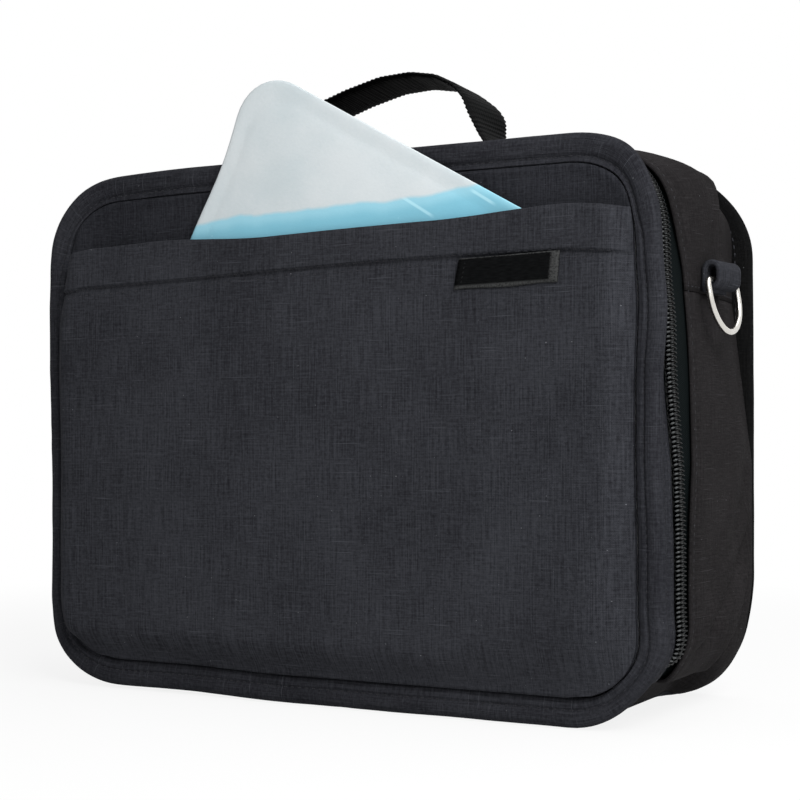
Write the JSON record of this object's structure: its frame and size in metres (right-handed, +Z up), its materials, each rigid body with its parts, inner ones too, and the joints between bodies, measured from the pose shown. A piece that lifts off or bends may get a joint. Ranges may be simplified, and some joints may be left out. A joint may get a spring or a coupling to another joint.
{
  "type": "insulin cooling case",
  "caption": "Soft zipped travel case for keeping insulin cool, with a gel pack in its open front pocket, a webbing carry handle, side D-rings and a padded interior with elastic loops.",
  "frame": {"origin": "middle of the flat bottom panel's underside, halfway between the front rim's face and the back rim's face", "axes": "+Z up, -Y towards the front pocket, +X towards the right side as seen from the front"},
  "size_m": [0.2944, 0.1179, 0.255],
  "materials": {
    "shell_cloth": "matt woven nylon",
    "binding_cloth": "matt woven nylon",
    "foam": "closed-cell foam sheet",
    "foil_lining": "satin foil-faced cloth",
    "tape_cloth": "matt woven tape",
    "coil_plastic": "satin nylon coil",
    "dark_metal": "dark lacquered",
    "patch_cloth": "smooth woven patch",
    "frosted_film": "frosted film",
    "webbing": "ribbed webbing",
    "ring_steel": "polished",
    "mesh_cloth": "open net"
  },
  "bodies": {
    "case": {"back_rim": "binding_cloth", "back_panel": "shell_cloth", "back_foam": "foam", "back_lining": "foil_lining", "gusset_top": "shell_cloth", "gusset_side_right": "shell_cloth", "gusset_side_left": "shell_cloth", "bottom_panel": "shell_cloth", "gusset_foam": "foam", "gusset_lining": "foil_lining", "hinge_strip": "tape_cloth", "zip_tape_body": "tape_cloth", "zip_coil_body": "coil_plastic", "handle_foot_right": "webbing", "handle_foot_left": "webbing", "d_ring_tab_right": "shell_cloth", "d_ring_tab_left": "shell_cloth", "elastic_loops": "webbing"},
    "lid": {"front_rim": "binding_cloth", "front_panel": "shell_cloth", "lid_foam": "foam", "lid_lining": "foil_lining", "lid_strip": "shell_cloth", "zip_tape_lid": "tape_cloth", "zip_coil_lid": "coil_plastic", "pocket_panel": "shell_cloth", "label_patch": "patch_cloth", "mesh_pocket": "mesh_cloth", "mesh_binding": "binding_cloth"},
    "slider_right": {"slider_right": "dark_metal", "slider_base_right": "dark_metal"},
    "slider_left": {"slider_left": "dark_metal", "slider_base_left": "dark_metal"},
    "pull_right": {"pull_right": "dark_metal"},
    "pull_left": {"pull_left": "dark_metal"},
    "handle": {"handle": "webbing"},
    "d_ring_right": {"d_ring_right": "ring_steel"},
    "d_ring_left": {"d_ring_left": "ring_steel"},
    "gel_pack": {"gel_pack": "frosted_film"}
  },
  "joints": [
    {"name": "lid_fold", "type": "hinge", "parent": "case", "child": "lid", "pos_m": [0, -0.047, 0.0015], "axis": [1, 0, 0], "range_deg": [0, 90]},
    {"name": "slider_right_run", "type": "slide", "parent": "case", "child": "slider_right", "axis": [1, 0, 0], "range_m": [0, 0.08]},
    {"name": "slider_left_run", "type": "slide", "parent": "case", "child": "slider_left", "axis": [-1, 0, 0], "range_m": [0, 0.08]},
    {"name": "pull_right_turn", "type": "hinge", "parent": "slider_right", "child": "pull_right", "pos_m": [0.009, -0.035, 0.21389], "axis": [0, -1, 0], "range_deg": [0, 110]},
    {"name": "pull_left_turn", "type": "hinge", "parent": "slider_left", "child": "pull_left", "pos_m": [-0.009, -0.035, 0.21389], "axis": [0, 1, 0], "range_deg": [0, 110]},
    {"name": "handle_lean", "type": "hinge", "parent": "case", "child": "handle", "pos_m": [0, 0, 0.2277], "axis": [1, 0, 0], "range_deg": [-45, 45]},
    {"name": "d_ring_right_swing", "type": "hinge", "parent": "case", "child": "d_ring_right", "pos_m": [0.14238, 0, 0.164], "axis": [-0.0872, -0.9962, 0], "range_deg": [0, 150]},
    {"name": "d_ring_left_swing", "type": "hinge", "parent": "case", "child": "d_ring_left", "pos_m": [-0.14238, 0, 0.164], "axis": [-0.0872, 0.9962, 0], "range_deg": [0, 150]},
    {"name": "gel_pack_lift", "type": "slide", "parent": "lid", "child": "gel_pack", "axis": [0, 0, 1], "range_m": [0, 0.17]}
  ]
}
